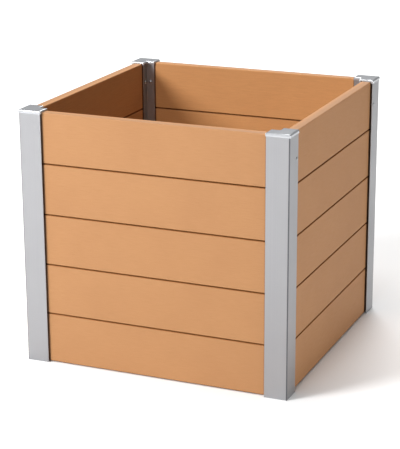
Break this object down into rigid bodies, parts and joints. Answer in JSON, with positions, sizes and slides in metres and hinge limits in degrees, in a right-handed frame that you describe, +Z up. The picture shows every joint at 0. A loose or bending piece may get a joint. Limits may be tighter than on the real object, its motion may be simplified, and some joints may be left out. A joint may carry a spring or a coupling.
{
  "type": "planter box",
  "caption": "Square open-bottomed planter box with tongue-and-groove composite plank walls held in slots in hollow aluminium corner posts with push-in caps.",
  "frame": {"origin": "on the ground, under the middle of the box", "axes": "+Z up; +X to the right and +Y to the back, seen from the front. The outer screws are on the left and right sides, -X and +X"},
  "size_m": [0.6036, 0.603, 0.559],
  "materials": {
    "composite_plank": "matt teak-coloured wood-plastic composite with a fine brushed mottle",
    "post_aluminium": "satin natural anodised extrusion",
    "cap_plastic": "silver-grey moulded plastic, semi-gloss",
    "screw_steel": "plain stainless steel"
  },
  "bodies": {
    "root": {"corner_post_front_left": "post_aluminium", "post_cap_front_left": "cap_plastic", "front_plank_1": "composite_plank", "front_plank_2": "composite_plank", "front_plank_3": "composite_plank", "front_plank_4": "composite_plank", "front_plank_5": "composite_plank", "inner_screw_front_wall_front_left": "screw_steel", "inner_screw_front_wall_front_right": "screw_steel", "corner_post_front_right": "post_aluminium", "post_cap_front_right": "cap_plastic", "right_plank_1": "composite_plank", "right_plank_2": "composite_plank", "right_plank_3": "composite_plank", "right_plank_4": "composite_plank", "right_plank_5": "composite_plank", "inner_screw_right_wall_front_right": "screw_steel", "outer_screw_front_right": "screw_steel", "inner_screw_right_wall_back_right": "screw_steel", "outer_screw_back_right": "screw_steel", "corner_post_back_right": "post_aluminium", "post_cap_back_right": "cap_plastic", "back_plank_1": "composite_plank", "back_plank_2": "composite_plank", "back_plank_3": "composite_plank", "back_plank_4": "composite_plank", "back_plank_5": "composite_plank", "inner_screw_back_wall_back_right": "screw_steel", "inner_screw_back_wall_back_left": "screw_steel", "corner_post_back_left": "post_aluminium", "post_cap_back_left": "cap_plastic", "left_plank_1": "composite_plank", "left_plank_2": "composite_plank", "left_plank_3": "composite_plank", "left_plank_4": "composite_plank", "left_plank_5": "composite_plank", "inner_screw_left_wall_back_left": "screw_steel", "outer_screw_back_left": "screw_steel", "inner_screw_left_wall_front_left": "screw_steel", "outer_screw_front_left": "screw_steel"}
  },
  "joints": []
}
